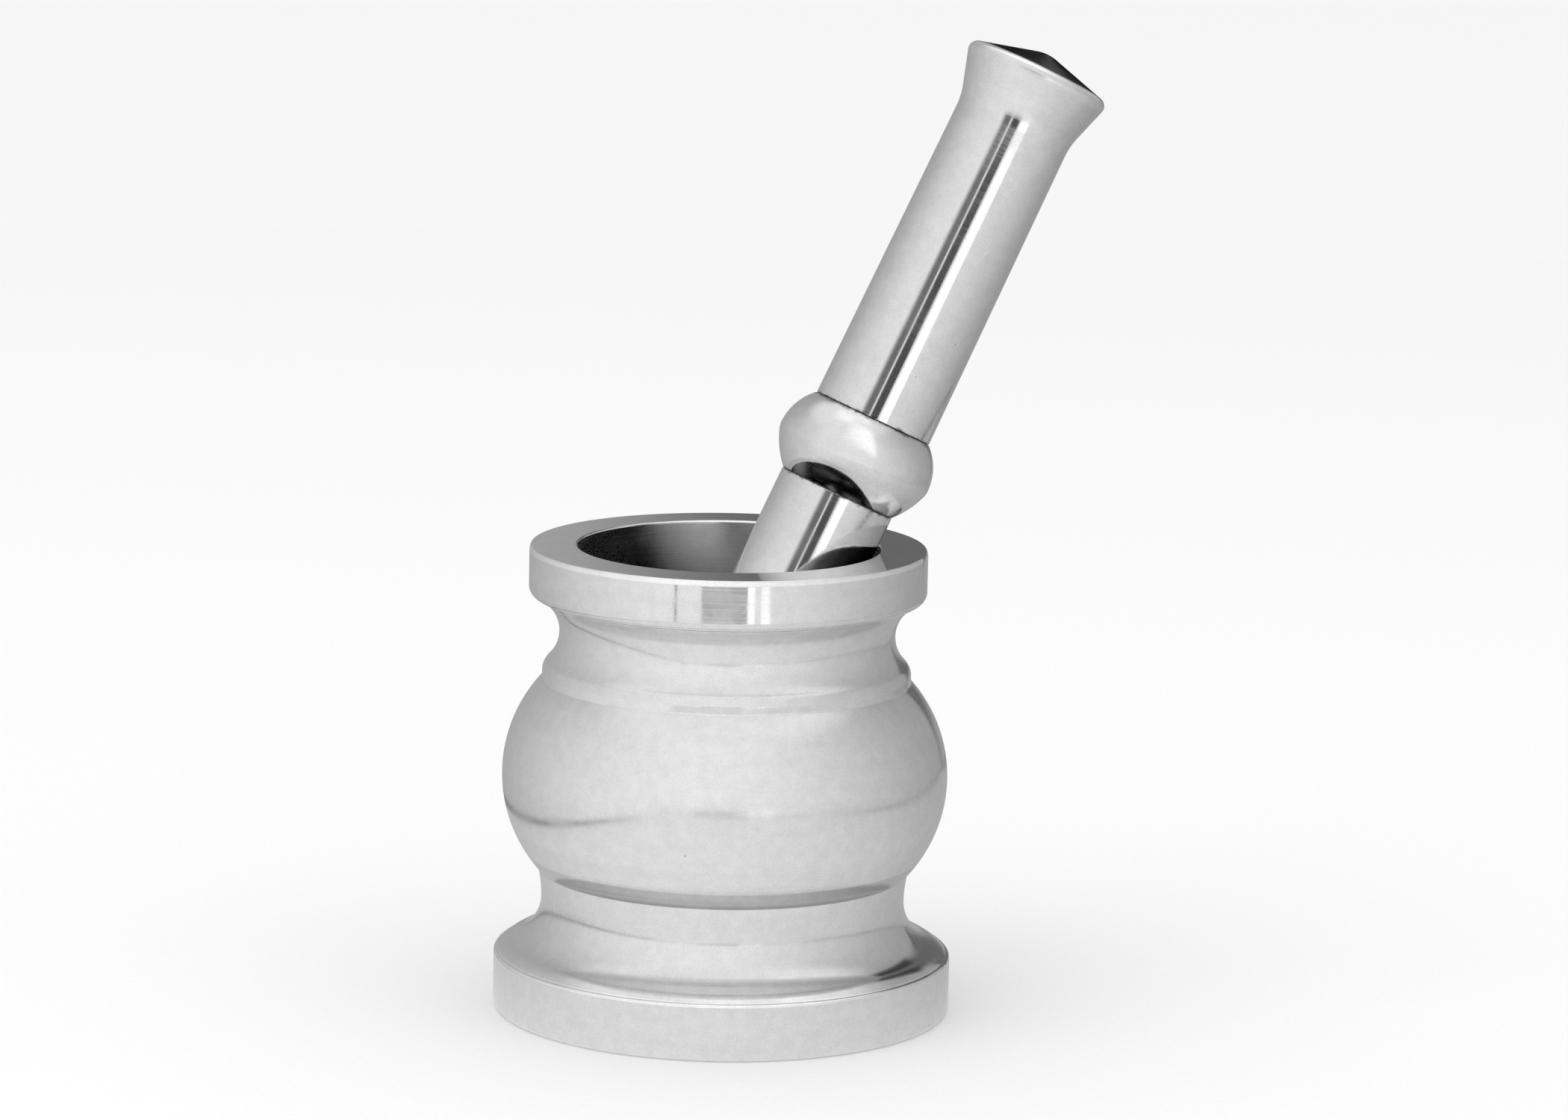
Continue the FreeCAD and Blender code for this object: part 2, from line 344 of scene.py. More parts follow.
def rod_profile():
    tip = Vector((0, TIP_ARC))
    tip_edge = Vector((ROD_RADIUS - TIP_EDGE_ARC, TIP_ARC))
    tip_edge.y -= third_side(TIP_ARC - TIP_EDGE_ARC, tip_edge.x)
    hole_floor = ROD_LENGTH - STUD_HOLE_DEPTH
    return (
        Profile(0, 0)
        .arc(tip, *on_line(tip, tip_edge, TIP_ARC))
        .arc(tip_edge, ROD_RADIUS, tip_edge.y)
        .line(ROD_RADIUS, ROD_LENGTH - JOINT_BREAK, JOINT_ROUNDING)
        .line(ROD_RADIUS - JOINT_BREAK, ROD_LENGTH, JOINT_ROUNDING)
        .line(STUD_RADIUS, ROD_LENGTH, CRISP_ROUNDING)
        .line(STUD_RADIUS, hole_floor, CRISP_ROUNDING)
        .line(0, hole_floor - DRILL_POINT_HEIGHT)
        .line(0, 0)
    )


def collar_profile():
    crown = Vector((COLLAR_RADIUS - COLLAR_CROWN_ARC, COLLAR_CROWN_HEIGHT))
    under = inner_crossing(
        Vector((COLLAR_FOOT_RADIUS, 0)),
        COLLAR_UNDER_ARC,
        crown,
        COLLAR_UNDER_ARC - COLLAR_CROWN_ARC,
    )
    upper_collar_arc = arc_leaving_upright(
        COLLAR_RADIUS - COLLAR_TOP_RADIUS, COLLAR_HEIGHT - COLLAR_CROWN_HEIGHT
    )
    return (
        Profile(STUD_RADIUS, 0)
        .line(COLLAR_FOOT_RADIUS, 0, EDGE_ROUNDING)
        .arc(under, *on_line(under, crown, COLLAR_UNDER_ARC))
        .arc(crown, COLLAR_RADIUS, COLLAR_CROWN_HEIGHT)
        .arc(
            (COLLAR_RADIUS - upper_collar_arc, COLLAR_CROWN_HEIGHT),
            COLLAR_TOP_RADIUS,
            COLLAR_HEIGHT,
            EDGE_ROUNDING,
        )
        .line(STUD_RADIUS, COLLAR_HEIGHT, CRISP_ROUNDING)
        .line(STUD_RADIUS, 0, CRISP_ROUNDING)
    )


def grip_profile():
    head = Vector((GRIP_HEAD_RADIUS, GRIP_STRAIGHT))
    flare_edge = Vector((FLARE_RADIUS - FLARE_EDGE_ARC, FLARE_EDGE_HEIGHT))
    apex = Vector((0, GRIP_LENGTH - APEX_ARC))
    flare_way = normal_of_tangent(head, 0, flare_edge, FLARE_EDGE_ARC)
    cone_way = normal_of_tangent(flare_edge, FLARE_EDGE_ARC, apex, APEX_ARC)
    # the edge and the apex move in, each with its tangents as they are
    flare_edge.x -= INSIDE_CAD
    apex.y -= INSIDE_CAD
    drill_point = STUD_HOLE_DEPTH + DRILL_POINT_HEIGHT
    return (
        Profile(0, drill_point)
        .line(STUD_RADIUS, STUD_HOLE_DEPTH, CRISP_ROUNDING)
        .line(STUD_RADIUS, 0, CRISP_ROUNDING)
        .line(GRIP_FOOT_RADIUS - JOINT_BREAK, 0, JOINT_ROUNDING)
        .line(GRIP_FOOT_RADIUS, JOINT_BREAK, JOINT_ROUNDING)
        .line(*head, FLARE_ROUNDING)
        .line(*(flare_edge + flare_way * FLARE_EDGE_ARC))
        .arc(flare_edge, *(flare_edge + cone_way * FLARE_EDGE_ARC))
        .line(*(apex + cone_way * APEX_ARC))
        .arc(apex, 0, apex.y + APEX_ARC)
        .line(0, drill_point)
    )


# ---------------------------------------------------------------- materials


class Nodes:
    """Short ways to add and join the nodes of one node tree."""

    def __init__(self, tree):
        self.tree = tree
        tree.nodes.clear()

    def put(self, socket, value):
        if isinstance(value, bpy.types.NodeSocket):
            self.tree.links.new(value, socket)
        else:
            socket.default_value = value

    def add(self, kind, inputs=(), **settings):
        node = self.tree.nodes.new(kind)
        for name, value in settings.items():
            setattr(node, name, value)
        for key, value in dict(inputs).items():
            self.put(node.inputs[key], value)
        return node

    def math(self, operation, *values):
        node = self.add("ShaderNodeMath", operation=operation)
        for index, value in enumerate(values):
            self.put(node.inputs[index], value)
        return node.outputs[0]

    def product(self, first, *others):
        for other in others:
            first = self.math("MULTIPLY", first, other)
        return first

    def spread(self, value, low, high, to_low=0.0, to_high=1.0):
        """value taken smoothly from low..high to to_low..to_high, and held there beyond."""
        node = self.add(
            "ShaderNodeMapRange",
            {"Value": value, "From Min": low, "From Max": high, "To Min": to_low, "To Max": to_high},
            interpolation_type="SMOOTHSTEP",
        )
        return node.outputs["Result"]

    def blend(self, share, without, with_all):
        """without where share is 0, with_all where it is 1."""
        return self.math(
            "ADD",
            self.math("MULTIPLY", self.math("SUBTRACT", 1.0, share), without),
            self.math("MULTIPLY", share, with_all),
        )

    def noise(self, vector, scale, detail=2.0, roughness=0.5, w=None):
        inputs = {"Vector": vector, "Scale": scale, "Detail": detail, "Roughness": roughness}
        if w is None:
            return self.add("ShaderNodeTexNoise", inputs).outputs["Fac"]
        inputs["W"] = w
        return self.add("ShaderNodeTexNoise", inputs, noise_dimensions="4D").outputs["Fac"]

    def combine(self, x, y, z):
        return self.add("ShaderNodeCombineXYZ", {"X": x, "Y": y, "Z": z}).outputs[0]

    def grey(self, value):
        return self.combine(value, value, value)

    def split(self, vector):
        return self.add("ShaderNodeSeparateXYZ", {"Vector": vector}).outputs

    def vector_math(self, operation, *values):
        node = self.add("ShaderNodeVectorMath", operation=operation)
        for index, value in enumerate(values):
            self.put(node.inputs[index], value)
        return node.outputs[0]

    def length(self, x, y):
        squares = self.math("ADD", self.math("MULTIPLY", x, x), self.math("MULTIPLY", y, y))
        return self.math("SQRT", squares)

    def object_place(self):
        return self.add("ShaderNodeTexCoord").outputs["Object"]


def new_material(name):
    material = bpy.data.materials.new(name)
    material.use_nodes = True
    return material, Nodes(material.node_tree)


ANISOTROPY = 0.3
ANISOTROPIC_TURN = 0.25
SMALLEST_RADIUS = 1e-5
ZONE_EDGE = 0.15  # half the width over which a zone of the polish and painted light comes in, in millimetres

# Scales of the noises over the steel, in features per metre, and parts of their range that are used.
CLOUD_SCALE = 95.0
HAZE_SCALE = 420.0
GRAIN_SCALE = 3200.0
WAVE_SCALE = 60.0
GRIME_SCALE = 620.0
MOST_NOISE = (0.3, 0.7)
UPPER_NOISE = (0.35, 0.7)
FINE_NOISE = (0.3, 0.75)

# Rings left by turning: (how far apart in metres, change round a turn, detail).
FINE_RINGS = (0.00028, 2.0, 3.0)
COARSE_RINGS = (0.0022, 1.2, 2.0)

# What the noises do to the roughness, which they add to, and to the tone, which they multiply.
CLOUD_ROUGHNESS = (-0.02, 0.035)
RING_ROUGHNESS = (-0.015, 0.03)
HAZE_SHADE = (0.965, 1.03)
GRAIN_SHADE = (0.955, 1.04)
RING_SHADE = (0.985, 1.01)

# Pits lie in a few of many cells, those whose own random number is above PIT_CHANCE. PIT_RADIUS is
# that of a pit's dark middle and of its edge, as shares of a cell.
PIT_CELL_SCALE = 210.0
PIT_CHANCE = (0.92, 0.93)
PIT_RADIUS = (0.015, 0.045)
PIT_DEPTH = 30 * MICRON
PIT_DARKNESS = 0.7

# Grime along the joints: how ragged and how wide it is, in metres, and how dark.
GRIME_RAGGEDNESS = 0.0005
GRIME_REACH = (-0.0003, 0.0004)
GRIME_SHADE = 0.25


class AboutAxis:
    """Where the shaded point is in the frame that a turned piece was made in, whose Z is its axis."""

    def __init__(self, n, frame_at):
        self.n = n
        self.frame_at = frame_at
        self.shown_at = n.object_place()
        self.place = n.add(
            "ShaderNodeMapping",
            {
                "Vector": self.shown_at,
                "Location": frame_at.to_translation(),
                "Rotation": frame_at.to_euler(),
            },
            vector_type="TEXTURE",
        ).outputs[0]
        x, y, self.height = n.split(self.place)
        self.radius = n.length(x, y)
        safe = n.math("MAXIMUM", self.radius, SMALLEST_RADIUS)
        self.turn_x = n.math("DIVIDE", x, safe)
        self.turn_y = n.math("DIVIDE", y, safe)

    def rings(self, spacing, around, detail):
        """Noise in rings about the axis: spacing apart, and changing slowly around a turn."""
        n = self.n
        vector = n.combine(
            n.math("DIVIDE", self.radius, spacing),
            n.math("DIVIDE", self.height, spacing),
            n.math("MULTIPLY", self.turn_x, around),
        )
        return n.noise(vector, 1.0, detail, w=n.math("MULTIPLY", self.turn_y, around))

    def inside(self, low, high, largest):
        """1 between two heights and within the largest radius, all in millimetres, and 0 elsewhere."""
        n = self.n
        return n.product(
            n.spread(self.height, (low - ZONE_EDGE) * MM, (low + ZONE_EDGE) * MM),
            n.spread(self.height, (high - ZONE_EDGE) * MM, (high + ZONE_EDGE) * MM, 1.0, 0.0),
            n.spread(self.radius, (largest - ZONE_EDGE) * MM, (largest + ZONE_EDGE) * MM, 1.0, 0.0),
        )

    def tangent(self):
        """Way round the axis."""
        n = self.n
        axis = self.frame_at.to_3x3() @ Vector((0, 0, 1))
        from_axis = n.vector_math("SUBTRACT", self.shown_at, self.frame_at.to_translation())
        return n.vector_math("NORMALIZE", n.vector_math("CROSS_PRODUCT", axis, from_axis))

    def pits(self):
        """1 in sparse pits, each a fraction of a millimetre across, and 0 elsewhere."""
        n = self.n
        cells = n.add(
            "ShaderNodeTexVoronoi",
            {"Vector": self.place, "Scale": PIT_CELL_SCALE, "Randomness": 1.0},
        )
        own_number = n.add("ShaderNodeSeparateColor", {"Color": cells.outputs["Color"]}).outputs[0]
        near = n.spread(cells.outputs["Distance"], *PIT_RADIUS, 1.0, 0.0)
        return n.math("MULTIPLY", n.spread(own_number, *PIT_CHANCE), near)

    def grime(self, height):
        """Shade of the ragged dark line of a joint at a height in millimetres."""
        n = self.n
        gap = n.math("ABSOLUTE", n.math("SUBTRACT", self.height, height * MM))
        noise = n.noise(self.place, GRIME_SCALE, 4.0, 0.65)
        ragged = n.spread(noise, *UPPER_NOISE, 0.0, GRIME_RAGGEDNESS)
        return n.spread(n.math("SUBTRACT", gap, ragged), *GRIME_REACH, GRIME_SHADE, 1.0)


def steel(name, frame_at, tone, roughness, lines, ripple=0.0, dark_from=(), zones=()):
    """Turned and polished stainless steel, about the Z axis of the frame it is given. lines is how
    deep its fine turning lines are and ripple how wavy the polish left it, in micrometres. dark_from
    are the heights of joints, in millimetres. zones are polished differently, and the tone of some is
    a painted highlight and of others a painted shade: (lowest and highest height and largest radius in
    millimetres, roughness, depth of lines in micrometres, tone)."""
    material, n = new_material(name)
    about = AboutAxis(n, frame_at)
    fine = about.rings(*FINE_RINGS)
    coarse = about.rings(*COARSE_RINGS)
    clouds = n.noise(about.place, CLOUD_SCALE, 4.0, 0.6)
    haze = n.noise(about.place, HAZE_SCALE, 3.0, 0.55)
    grain = n.noise(about.place, GRAIN_SCALE)
    pit = about.pits()

    rough_base = roughness
    depth = lines * MICRON
    tone_and_painted_light = tone
    # Some zones paint highlights and shade into the tone here.
    for low, high, largest, rough_there, lines_there, tone_and_painted_light_there in zones:
        inside = about.inside(low, high, largest)
        rough_base = n.blend(inside, rough_base, rough_there)
        depth = n.blend(inside, depth, lines_there * MICRON)
        tone_and_painted_light = n.blend(inside, tone_and_painted_light, tone_and_painted_light_there)

    smeared = n.math(
        "ADD",
        n.spread(clouds, *UPPER_NOISE, *CLOUD_ROUGHNESS),
        n.spread(fine, *FINE_NOISE, *RING_ROUGHNESS),
    )
    shade = n.product(
        n.spread(haze, *MOST_NOISE, *HAZE_SHADE),
        n.spread(grain, *MOST_NOISE, *GRAIN_SHADE),
        n.spread(coarse, *MOST_NOISE, *RING_SHADE),
        n.math("SUBTRACT", 1.0, n.math("MULTIPLY", pit, PIT_DARKNESS)),
        *[about.grime(height) for height in dark_from],
        tone_and_painted_light,
    )
    waves = n.math(
        "ADD",
        n.math("MULTIPLY", n.noise(about.place, WAVE_SCALE, 1.0), ripple * MICRON),
        n.math("MULTIPLY", pit, -PIT_DEPTH),
    )
    turned_normal = n.add(
        "ShaderNodeBump", {"Strength": 1.0, "Distance": 1.0, "Height": n.math("MULTIPLY", fine, depth)}
    ).outputs["Normal"]
    normal = n.add(
        "ShaderNodeBump",
        {"Strength": 1.0, "Distance": 1.0, "Height": waves, "Normal": turned_normal},
    ).outputs["Normal"]
    shader = n.add(
        "ShaderNodeBsdfPrincipled",
        {
            "Base Color": n.grey(shade),
            "Metallic": 1.0,
            "Roughness": n.math("ADD", rough_base, smeared),
            "Anisotropic": ANISOTROPY,
            "Anisotropic Rotation": ANISOTROPIC_TURN,
            "Normal": normal,
            "Tangent": about.tangent(),
        },
    )
    n.add("ShaderNodeOutputMaterial", {"Surface": shader.outputs[0]})
    material.diffuse_color = (tone, tone, tone, 1.0)
    return material


# ---------------------------------------------------------------- the object

LEAN_DEG = 25.7
LEAN_POINT = Vector((16.15, -2.5, MORTAR_HEIGHT)) * MM
TIP_TO_RIM = 71.5
AXIS = Vector((math.sin(math.radians(LEAN_DEG)), 0.0, math.cos(math.radians(LEAN_DEG))))


def on_pestle(from_tip):
    """Frame on the pestle's axis, the given length in millimetres above its tip."""
    turn = Matrix.Rotation(math.radians(LEAN_DEG), 4, "Y")
    return Matrix.Translation(LEAN_POINT + AXIS * (from_tip - TIP_TO_RIM) * MM) @ turn


def add_piece(name, profile, matrix, material, body, node):
    piece = bpy.data.objects.new(name, turned_mesh(name, profile, matrix))
    bpy.context.scene.collection.objects.link(piece)
    piece.data.materials.append(material)
    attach(piece, body)
    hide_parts(node)
    return piece


at_mortar = Matrix.Identity(4)
at_rod = on_pestle(0)
at_collar = on_pestle(ROD_LENGTH)
at_grip = on_pestle(ROD_LENGTH + COLLAR_HEIGHT)

# Limits of a zone of the polish and painted light that lie outside every piece.
BELOW = -1.0
ABOVE = 95.0
BEYOND = 60.0

mortar_steel = steel(
    "mortar_steel",
    at_mortar,
    tone=0.76,
    roughness=0.17,
    lines=0.6,
    ripple=40,
    zones=(
        (BELOW, 10.5, BEYOND, 0.13, 1.0, 0.75),
        # painted highlight: the plinth's top edge is made brighter in tone
        (10.5, 11.3, BEYOND, 0.10, 0.3, 0.92),
        # painted shade: the crease above the waist is made darker in tone
        (CREASE_HEIGHT, 31.1, BEYOND, 0.12, 0.6, 0.60),
        (36.0, 64.9, BEYOND, 0.17, 0.6, 0.78),
        (65.3, 66.9, BEYOND, 0.12, 0.6, 0.79),
        (68.0, 80.0, BEYOND, 0.17, 0.6, 0.77),
        (81.0, ABOVE, BEYOND, 0.08, 1.2, 0.75),
        # painted highlight: the rim's lower edge is made brighter in tone
        (81.4, 82.2, BEYOND, 0.10, 0.3, 0.90),
        # painted highlight: the rim's top edge is made brighter in tone
        (90.7, 91.6, BEYOND, 0.10, 0.3, 0.93),
        # painted shade: the inside of the bowl is made darker in tone
        (22.0, 91.2, 29.6, 0.21, 1.6, 0.62),
    ),
)
rod_steel = steel(
    "rod_steel", at_rod, tone=0.70, roughness=0.09, lines=0.5, ripple=12, dark_from=(ROD_LENGTH,)
)
collar_steel = steel(
    "collar_steel",
    at_collar,
    tone=0.73,
    roughness=0.20,
    lines=8.0,
    ripple=20,
    dark_from=(0.0, COLLAR_HEIGHT),
    zones=((BELOW, 4.6, BEYOND, 0.08, 0.8, 0.72),),
)
grip_steel = steel(
    "grip_steel",
    at_grip,
    tone=0.72,
    roughness=0.09,
    lines=0.5,
    ripple=12,
    dark_from=(0.0,),
    zones=(
        (64.0, ABOVE, BEYOND, 0.20, 1.2, 0.73),
        (72.6, 75.3, BEYOND, 0.32, 0.8, 0.74),
        # painted highlight: the edge of the flare is made brighter in tone
        (74.45, 75.3, BEYOND, 0.30, 0.3, 0.95),
        (75.3, ABOVE, BEYOND, 0.12, 4.0, 0.72),
    ),
)
stud_steel = steel("stud_steel", at_rod, tone=0.55, roughness=0.32, lines=4.0)

mortar = add_piece(
    "mortar", mortar_profile(), at_mortar, mortar_steel, "mortar", "mortar_body"
)
rod = add_piece("rod", rod_profile(), at_rod, rod_steel, "pestle", "pestle_rod")
collar = add_piece(
    "collar", collar_profile(), at_collar, collar_steel, "pestle", "pestle_collar"
)
grip = add_piece("grip", grip_profile(), at_grip, grip_steel, "pestle", "pestle_grip")
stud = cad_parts["joining_stud"]
stud.data.materials.clear()
stud.data.materials.append(stud_steel)


# ---------------------------------------------------------------- camera

CAMERA_AT = Vector((-0.3117, -1.02949, 0.28007))
CAMERA_TURN_DEG = (-17.4185, 79.9324, 1.1747)  # about Z, up from straight down, and about its view
LENS_MM = 128.571
SENSOR_MM = 36.0
NEAREST_SEEN = 0.05
FARTHEST_SEEN = 20.0

around, up, roll = (math.radians(angle) for angle in CAMERA_TURN_DEG)
camera_data = bpy.data.cameras.new("camera")
camera_data.lens = LENS_MM
camera_data.sensor_width = SENSOR_MM
camera_data.clip_start = NEAREST_SEEN
camera_data.clip_end = FARTHEST_SEEN
camera = bpy.data.objects.new("camera", camera_data)
bpy.context.scene.collection.objects.link(camera)
camera.matrix_world = (
    Matrix.Translation(CAMERA_AT)
    @ Matrix.Rotation(around, 4, "Z")
    @ Matrix.Rotation(up, 4, "X")
    @ Matrix.Rotation(roll, 4, "Z")
)
bpy.context.scene.camera = camera


# ---------------------------------------------------------------- floor, tent and light

CAMERA_AZIMUTH = math.atan2(CAMERA_AT.x, -CAMERA_AT.y)
MIDDLE = (cad_low + cad_high) / 2

FLOOR_SIZE = 12.0
FLOOR_HEIGHT = -0.0002
FLOOR_GRAIN_SCALE = 900.0
FLOOR_SHADE = (0.90, 0.92)
TENT_RADIUS = 1.3
TENT_ROWS = 24
TENT_COLUMNS = 48

# Radiance of the tent's walls and of the table in it: half way round from their brightest side, and
# how much more it is there.
WALL_LIGHT = (0.70, 0.32)
TABLE_LIGHT = (0.68, 0.24)
BRIGHTEST_DEG = -17.0  # to the right of the camera
SMALLEST_LENGTH = 1e-6
BRIGHT_WALL = sum(WALL_LIGHT)
DOORWAY_LIGHT = 0.15

# What lies over the walls of the tent, as seen from the object: (name, azimuth to the right of the
# camera, elevation, half width, half height, softness, all in degrees, radiance). Later rows lie over
# earlier ones. Only the polish mirrors any of it.
TENT_ZONES = (
    ("roof", 0, 90, 360, 42, 22, 0.98),
    ("lamp over the roof", 0, 90, 360, 12, 12, 1.3),
    ("dim ledge behind", 180, 49, 17, 8, 7, 0.22),
    ("lamp over the right", 92, 71, 24, 5, 4, 1.25),
    ("dim doorway behind", 161, 16, 9, 19, 9, DOORWAY_LIGHT),
    ("black window behind", 151, 32, 6, 9, 4, 0.03),
    ("dim wall straight behind", 174, 10, 8, 7, 5, 0.15),
    ("seam of the wall", 152, 2, 1.2, 12, 2, 0.05),
)

# Corners of the table that the polish mirrors, as (to the camera's right, away from the camera), and
# how far its outline is rounded at each. A low rail runs round it. RAIL_LIGHT is its radiance nearer
# to the camera than the change and farther away.
TABLE_CORNERS = ((-0.19, -0.38), (0.25, -0.27), (0.25, 0.30), (-0.085, 0.18))
TABLE_ROUNDING = 0.12
TABLE_ROUNDING_STEPS = 8
TABLE_HEIGHT = -0.0001
RAIL_HEIGHT = 0.006
RAIL_CHANGES_AT = (-0.26, -0.15)
RAIL_LIGHT = (0.56, 0.26)

# Low cards that stand beyond the table for the mortar's rim: (name, from and to azimuth in degrees,
# radiance).
RIM_CARDS_AT = 0.5
RIM_CARDS_HEIGHTS = (-0.007, 0.0125)
RIM_CARDS_FADE = 0.05
RIM_CARDS = (
    ("dark_card", -15.0, 10.8, 0.46),
    ("dark_thread", -29.3, -28.1, 0.1),
    ("white_card_near", 10.8, 14.6, 1.7),
    ("white_card_far", 18.2, 23.0, 1.7),
)

# Cards for the pestle, turned as it leans: (name, azimuth, elevation, half width, half height, all in
# degrees, radiance, fade, radiance of what is behind, pieces that mirror it).
PESTLE_CARDS_AT = 0.75
PESTLE_CARDS = (
    ("lens_card_left", -17.5, 17.6, 9.6, 10.0, 0.2, 0.55, BRIGHT_WALL, (rod, grip)),
    ("lens_card_right", 0.0, 9.5, 7.4, 10.0, 0.10, 0.1, BRIGHT_WALL, (rod, grip)),
    ("strip_light", 16.2, 2.0, 7.8, 9.0, 1.6, 0.1, BRIGHT_WALL, (rod, grip)),
    ("collar_light", 14.0, 48.0, 32.0, 24.0, 1.5, 0.95, BRIGHT_WALL, (collar,)),
    ("back_card", 167.0, 15.0, 8.0, 12.0, 0.01, 0.1, DOORWAY_LIGHT, (grip,)),
)

# Round soft lamps that only light: (name, azimuth, elevation, watts).
LAMPS = (("key", -50, 50, 3.0), ("fill", 55, 40, 1.5))
LAMP_DISTANCE = 1.6
LAMP_SIZE = 1.2


def way_to(azimuth, elevation):
    """Unit vector to an azimuth to the right of the camera and an elevation, in degrees."""
    angle = CAMERA_AZIMUTH + math.radians(azimuth)
    rise = math.radians(elevation)
    return Vector(
        (math.sin(angle) * math.cos(rise), -math.cos(angle) * math.cos(rise), math.sin(rise))
    )


def set_glow(material, n, light):
    glow = n.add("ShaderNodeEmission", {"Color": (1, 1, 1, 1), "Strength": light})
    n.add("ShaderNodeOutputMaterial", {"Surface": glow.outputs[0]})
    material.cycles.emission_sampling = "NONE"


def light_round(n, x, y, middle, more):
    """Radiance that is highest on the brightest side, in a frame whose -Y is toward the camera."""
    side = math.radians(BRIGHTEST_DEG)
    along = n.math(
        "SUBTRACT",
        n.math("MULTIPLY", x, math.sin(side)),
        n.math("MULTIPLY", y, math.cos(side)),
    )
    cosine = n.math("DIVIDE", along, n.math("MAXIMUM", n.length(x, y), SMALLEST_LENGTH))
    return n.math("ADD", middle, n.math("MULTIPLY", cosine, more))


def tent_material():
    material, n = new_material("tent")
    x, y, z = n.split(n.vector_math("NORMALIZE", n.object_place()))
    to_degrees = math.degrees(1)
    azimuth = n.product(n.math("ARCTAN2", x, n.math("MULTIPLY", y, -1.0)), to_degrees)
    elevation = n.product(n.math("ARCSINE", z), to_degrees)
    light = light_round(n, x, y, *WALL_LIGHT)
    for _, zone_azimuth, zone_elevation, half_width, half_height, softness, radiance in TENT_ZONES:
        across = n.math("WRAP", n.math("SUBTRACT", azimuth, zone_azimuth), 180.0, -180.0)
        above = n.math("SUBTRACT", elevation, zone_elevation)
        edge = softness / 2
        inside = n.product(
            n.spread(n.math("ABSOLUTE", across), half_width - edge, half_width + edge, 1.0, 0.0),
            n.spread(n.math("ABSOLUTE", above), half_height - edge, half_height + edge, 1.0, 0.0),
        )
        light = n.blend(inside, light, radiance)
    set_glow(material, n, light)
    return material


def table_material():
    material, n = new_material("mirrored_table")
    x, y, _ = n.split(n.object_place())
    set_glow(material, n, light_round(n, x, y, *TABLE_LIGHT))
    return material


def rail_material():
    material, n = new_material("rail")
    _, away, _ = n.split(n.object_place())
    set_glow(material, n, n.spread(away, *RAIL_CHANGES_AT, *RAIL_LIGHT))
    return material


def floor_material():
    material, n = new_material("floor")
    grain = n.noise(n.object_place(), FLOOR_GRAIN_SCALE, 3.0)
    shade = n.spread(grain, *MOST_NOISE, *FLOOR_SHADE)
    shader = n.add(
        "ShaderNodeBsdfPrincipled",
        {"Base Color": n.grey(shade), "Roughness": 0.9, "Specular IOR Level": 0.1},
    )
    n.add("ShaderNodeOutputMaterial", {"Surface": shader.outputs[0]})
    return material


def card_material(name, through, added, fade):
    """Lets a share of what is behind it through and adds its own light, more and more from its left
    edge, until both are whole after a share fade of its width."""
    material, n = new_material(name)
    across = n.split(n.add("ShaderNodeTexCoord").outputs["UV"])[0]
    there = n.spread(across, 0.0, fade)
    glow = n.add(
        "ShaderNodeEmission", {"Color": (1, 1, 1, 1), "Strength": n.math("MULTIPLY", there, added)}
    )
    passed = n.math("SUBTRACT", 1.0, n.math("MULTIPLY", there, 1.0 - through))
    clear = n.add("ShaderNodeBsdfTransparent", {"Color": n.grey(passed)})
    both = n.add("ShaderNodeAddShader", {0: glow.outputs[0], 1: clear.outputs[0]})
    n.add("ShaderNodeOutputMaterial", {"Surface": both.outputs[0]})
    material.cycles.emission_sampling = "NONE"
    return material


def only_in_reflections(thing):
    thing.visible_camera = False
    thing.visible_diffuse = False
    thing.visible_shadow = False
    thing.visible_transmission = False
    thing.visible_volume_scatter = False


def stage_mesh(name, vertices, faces, material):
    mesh = bpy.data.meshes.new(name)
    mesh.from_pydata(vertices, [], faces)
    mesh.materials.append(material)
    thing = bpy.data.objects.new(name, mesh)
    bpy.context.scene.collection.objects.link(thing)
    return thing


def add_floor():
    half = FLOOR_SIZE / 2
    corners = [(-half, -half, 0), (half, -half, 0), (half, half, 0), (-half, half, 0)]
    floor = stage_mesh("floor", corners, [(0, 1, 2, 3)], floor_material())
    floor.location.z = FLOOR_HEIGHT
    floor.visible_glossy = False


def add_tent():
    vertices, faces = [], []
    for row in range(TENT_ROWS + 1):
        polar = math.pi * row / TENT_ROWS
        for column in range(TENT_COLUMNS):
            turn = 2 * math.pi * column / TENT_COLUMNS
            way = Vector(
                (math.sin(polar) * math.cos(turn), math.sin(polar) * math.sin(turn), math.cos(polar))
            )
            vertices.append(way * TENT_RADIUS)
    for row in range(TENT_ROWS):
        above, below = row * TENT_COLUMNS, (row + 1) * TENT_COLUMNS
        for column in range(TENT_COLUMNS):
            after = (column + 1) % TENT_COLUMNS
            faces.append((above + column, above + after, below + after, below + column))
    tent = stage_mesh("tent", vertices, faces, tent_material())
    tent.rotation_euler.z = CAMERA_AZIMUTH
    tent.location = MIDDLE
    only_in_reflections(tent)


def table_outline():
    made = []
    count = len(TABLE_CORNERS)
    for index in range(count):
        corner = Vector(TABLE_CORNERS[index])
        first = on_line(corner, Vector(TABLE_CORNERS[index - 1]), TABLE_ROUNDING)
        last = on_line(corner, Vector(TABLE_CORNERS[(index + 1) % count]), TABLE_ROUNDING)
        for step in range(TABLE_ROUNDING_STEPS + 1):
            t = step / TABLE_ROUNDING_STEPS
            made.append(first * (1 - t) ** 2 + corner * (2 * t * (1 - t)) + last * t**2)
    return made


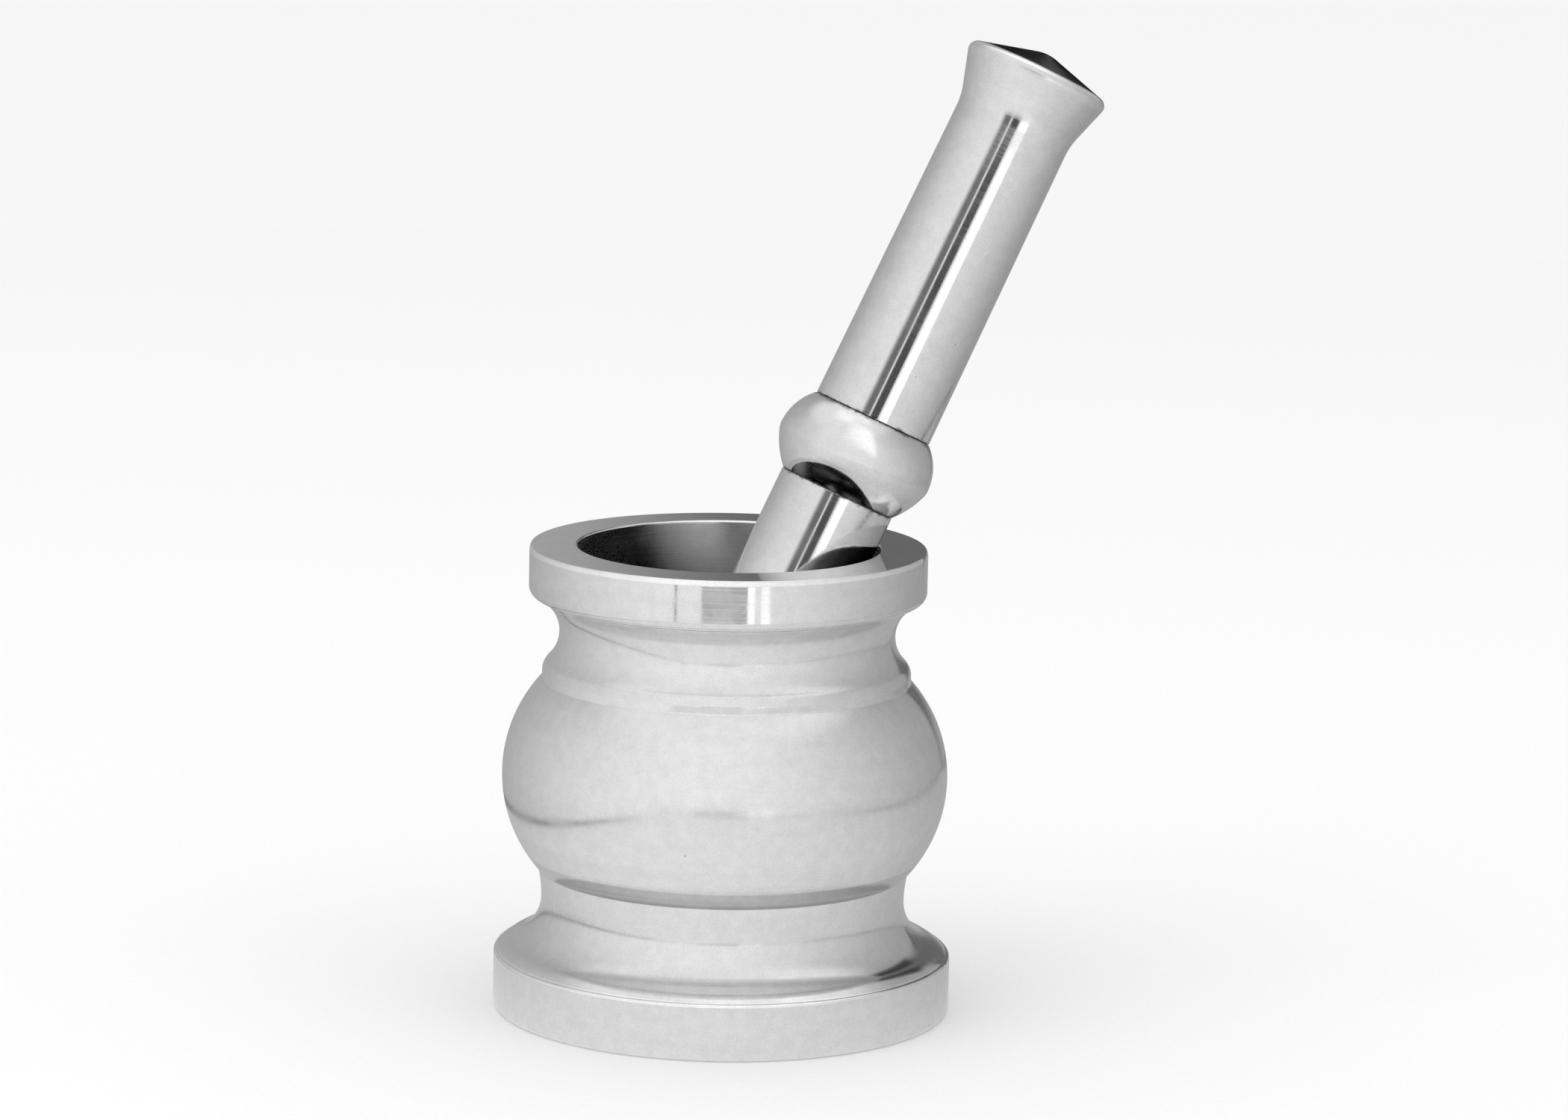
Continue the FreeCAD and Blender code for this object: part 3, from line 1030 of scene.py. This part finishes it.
def add_table():
    outline = table_outline()
    count = len(outline)
    flat = [(at.x, at.y, 0.0) for at in outline]
    upright = flat + [(at.x, at.y, RAIL_HEIGHT) for at in outline]
    sides = [(i, (i + 1) % count, (i + 1) % count + count, i + count) for i in range(count)]
    table = stage_mesh("mirrored_table", flat, [tuple(range(count))], table_material())
    rail = stage_mesh("rail", upright, sides, rail_material())
    for thing in (table, rail):
        thing.rotation_euler.z = CAMERA_AZIMUTH
        thing.location.z = TABLE_HEIGHT
        only_in_reflections(thing)


def add_card(name, corners, radiance, fade, behind, catchers):
    """Flat card that only the catchers mirror. Behind it is light of the radiance behind: a darker
    card takes it away and gives it back to the other pieces, and a brighter one adds to it."""
    if radiance < behind:
        lit = [piece for piece in (mortar, rod, collar, grip) if piece not in catchers]
        material = card_material(name, radiance / behind, behind - radiance, fade)
    else:
        lit = catchers
        material = card_material(name, 1.0, radiance - behind, fade)
    card = stage_mesh(name, corners, [(0, 1, 2, 3)], material)
    across = card.data.uv_layers.new(name="across")
    for loop, place in zip(across.data, ((0, 0), (1, 0), (1, 1), (0, 1))):
        loop.uv = place
    only_in_reflections(card)
    receivers = bpy.data.collections.new(name + "_lights")
    for piece in lit:
        receivers.objects.link(piece)
    card.light_linking.receiver_collection = receivers


def add_rim_cards():
    low, high = RIM_CARDS_HEIGHTS
    for name, first, last, radiance in RIM_CARDS:
        corners = []
        for azimuth, height in ((first, low), (last, low), (last, high), (first, high)):
            corners.append(way_to(azimuth, 0) * RIM_CARDS_AT + Vector((0, 0, height)))
        add_card(name, corners, radiance, RIM_CARDS_FADE, BRIGHT_WALL, (mortar,))


def add_pestle_cards():
    c, s = math.cos(math.radians(LEAN_DEG)), math.sin(math.radians(LEAN_DEG))
    for name, azimuth, elevation, half_width, half_height, *look in PESTLE_CARDS:
        corners = []
        for side, upward in ((-1, -1), (1, -1), (1, 1), (-1, 1)):
            across, above = side * half_width, upward * half_height
            way = way_to(azimuth + across * c + above * s, elevation + above * c - across * s)
            corners.append(MIDDLE + way * PESTLE_CARDS_AT)
        add_card(name, corners, *look)


def add_world():
    world = bpy.data.worlds.new("studio")
    world.use_nodes = True
    n = Nodes(world.node_tree)
    light = n.add("ShaderNodeBackground", {"Color": (1, 1, 1, 1), "Strength": 1.0})
    n.add("ShaderNodeOutputWorld", {"Surface": light.outputs[0]})
    bpy.context.scene.world = world


def add_lamps():
    for name, azimuth, elevation, watts in LAMPS:
        data = bpy.data.lights.new(name, "AREA")
        data.shape = "DISK"
        data.size = LAMP_SIZE
        data.energy = watts
        lamp = bpy.data.objects.new(name, data)
        way = way_to(azimuth, elevation)
        lamp.location = way * LAMP_DISTANCE
        lamp.rotation_euler = way.to_track_quat("Z", "Y").to_euler()
        lamp.visible_glossy = False
        lamp.visible_camera = False
        bpy.context.scene.collection.objects.link(lamp)


add_floor()
add_table()
add_tent()
add_rim_cards()
add_pestle_cards()
add_world()
add_lamps()

bpy.context.scene.view_settings.view_transform = "Standard"
